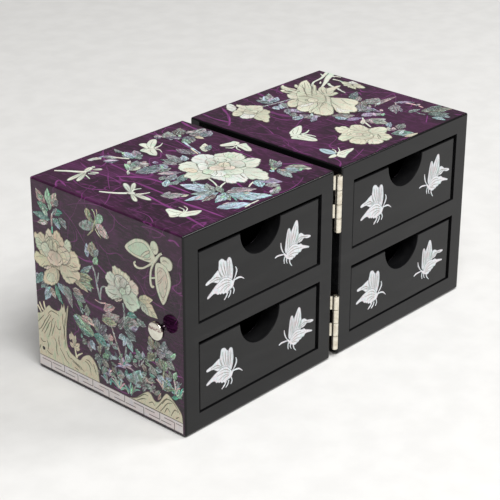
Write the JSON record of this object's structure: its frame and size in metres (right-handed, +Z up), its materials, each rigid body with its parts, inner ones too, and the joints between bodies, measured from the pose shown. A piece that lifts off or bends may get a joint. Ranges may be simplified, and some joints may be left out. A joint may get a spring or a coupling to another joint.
{
  "type": "jewellery box",
  "caption": "Folding lacquered jewellery box: two cube cases hinged at the front, each with drawers that have finger notches, with shell inlay and end knobs.",
  "frame": {"origin": "middle of the whole box's footprint, on the surface that the felt pads stand on", "axes": "+X along the drawer fronts towards the right case, +Y from the fronts to the back, +Z up"},
  "size_m": [0.2202, 0.1022, 0.1006],
  "materials": {
    "purple_lacquer": "gloss purple lacquer over fibre paper",
    "black_lacquer": "satin black lacquer",
    "drawer_wood": "black stained wood",
    "velvet": "black velvet pile",
    "felt": "black felt",
    "hinge_metal": "pale plated metal",
    "knob_metal": "polished plating",
    "white_shell": "polished white shell under clear lacquer",
    "abalone_shell": "polished abalone shell under clear lacquer",
    "fret_shell": "cut shell strips under clear lacquer"
  },
  "bodies": {
    "left_case": {"left_top_panel": "purple_lacquer", "left_bottom_panel": "purple_lacquer", "left_outer_side": "purple_lacquer", "left_hinge_side": "black_lacquer", "left_back_panel": "purple_lacquer", "left_shelf": "black_lacquer", "left_base_felt": "felt", "left_knob": "knob_metal", "upper_hinge_left_leaf": "hinge_metal", "upper_hinge_pin": "hinge_metal", "lower_hinge_left_leaf": "hinge_metal", "lower_hinge_pin": "hinge_metal", "left_hinge_screws": "hinge_metal"},
    "right_case": {"right_top_panel": "purple_lacquer", "right_bottom_panel": "purple_lacquer", "right_outer_side": "purple_lacquer", "right_hinge_side": "black_lacquer", "right_back_panel": "purple_lacquer", "right_shelf": "black_lacquer", "right_base_felt": "felt", "right_knob": "knob_metal", "upper_hinge_right_leaf": "hinge_metal", "lower_hinge_right_leaf": "hinge_metal", "right_hinge_screws": "hinge_metal"},
    "left_upper_drawer": {"left_upper_drawer_front": "black_lacquer", "left_upper_drawer_left_wall": "drawer_wood", "left_upper_drawer_right_wall": "drawer_wood", "left_upper_drawer_back": "drawer_wood", "left_upper_drawer_bottom": "drawer_wood", "left_upper_drawer_lining": "velvet"},
    "left_lower_drawer": {"left_lower_drawer_front": "black_lacquer", "left_lower_drawer_left_wall": "drawer_wood", "left_lower_drawer_right_wall": "drawer_wood", "left_lower_drawer_back": "drawer_wood", "left_lower_drawer_bottom": "drawer_wood", "left_lower_drawer_lining": "velvet"},
    "right_upper_drawer": {"right_upper_drawer_front": "black_lacquer", "right_upper_drawer_left_wall": "drawer_wood", "right_upper_drawer_right_wall": "drawer_wood", "right_upper_drawer_back": "drawer_wood", "right_upper_drawer_bottom": "drawer_wood", "right_upper_drawer_lining": "velvet"},
    "right_lower_drawer": {"right_lower_drawer_front": "black_lacquer", "right_lower_drawer_left_wall": "drawer_wood", "right_lower_drawer_right_wall": "drawer_wood", "right_lower_drawer_back": "drawer_wood", "right_lower_drawer_bottom": "drawer_wood", "right_lower_drawer_lining": "velvet"}
  },
  "joints": [
    {"name": "fold", "type": "hinge", "parent": "left_case", "child": "right_case", "pos_m": [0, -0.04942, 0], "axis": [0, 0, 1], "range_deg": [-180, 0]},
    {"name": "left_upper_slide", "type": "slide", "parent": "left_case", "child": "left_upper_drawer", "axis": [0, -1, 0], "range_m": [0, 0.075]},
    {"name": "left_lower_slide", "type": "slide", "parent": "left_case", "child": "left_lower_drawer", "axis": [0, -1, 0], "range_m": [0, 0.075]},
    {"name": "right_upper_slide", "type": "slide", "parent": "right_case", "child": "right_upper_drawer", "axis": [0, -1, 0], "range_m": [0, 0.075]},
    {"name": "right_lower_slide", "type": "slide", "parent": "right_case", "child": "right_lower_drawer", "axis": [0, -1, 0], "range_m": [0, 0.075]}
  ]
}
